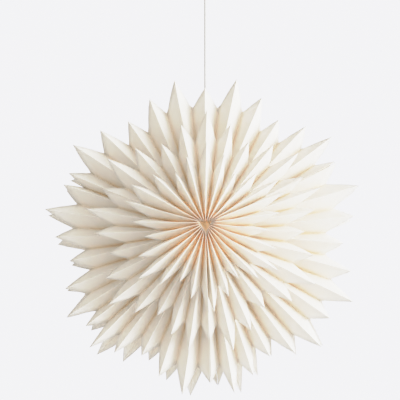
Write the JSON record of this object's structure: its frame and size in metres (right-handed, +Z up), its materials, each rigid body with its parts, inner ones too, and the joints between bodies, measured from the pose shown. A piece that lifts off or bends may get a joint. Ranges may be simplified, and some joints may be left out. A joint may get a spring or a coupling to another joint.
{
  "type": "paper_star_lantern",
  "caption": "Hanging star lantern of layered pleated paper points fanned round a hub, open through its arms, with lampholder, lamp, straight cord and ceiling cup",
  "frame": {"origin": "centre of the ceiling plate's screw pattern, in the face that meets the ceiling, on the cord's line", "axes": "+Z up into the ceiling, along the cord; the star's front hub points along -Y; +X to the right seen from the front"},
  "size_m": [0.5853, 0.2346, 0.8446],
  "materials": {
    "ivory_paper": "matt ivory card stock, lightly grained, lets some light through",
    "ivory_card": "matt ivory card",
    "white_plastic": "satin moulded white plastic",
    "ceramic_white": "glazed white",
    "bright_steel": "zinc plated steel",
    "contact_brass": "sprung brass",
    "opal_glass": "opal white envelope with a plated screw cap",
    "white_cord": "smooth white flex"
  },
  "bodies": {
    "root": {"outer_pleats_front_top": "ivory_paper", "outer_pleats_front_right": "ivory_paper", "outer_pleats_front_left": "ivory_paper", "outer_pleats_back_top": "ivory_paper", "outer_pleats_back_right": "ivory_paper", "outer_pleats_back_left": "ivory_paper", "middle_pleats_front_top": "ivory_paper", "middle_pleats_front_right": "ivory_paper", "middle_pleats_front_left": "ivory_paper", "middle_pleats_back_top": "ivory_paper", "middle_pleats_back_right": "ivory_paper", "middle_pleats_back_left": "ivory_paper", "inner_pleats_front_top": "ivory_paper", "inner_pleats_front_right": "ivory_paper", "inner_pleats_front_left": "ivory_paper", "inner_pleats_back_top": "ivory_paper", "inner_pleats_back_right": "ivory_paper", "inner_pleats_back_left": "ivory_paper", "drum": "ivory_card", "cord_grip": "white_plastic", "lampholder_cap": "white_plastic", "lampholder_body": "white_plastic", "contact_block": "ceramic_white", "terminal_screws": "bright_steel", "screw_shell": "bright_steel", "centre_contact": "contact_brass", "lamp": "opal_glass", "cord": "white_cord", "ceiling_plate": "bright_steel", "threaded_stem": "bright_steel", "ceiling_cup": "white_plastic", "cup_nut": "bright_steel", "cup_grip": "white_plastic", "terminal_strip": "ceramic_white", "strip_screw": "bright_steel"}
  },
  "joints": []
}
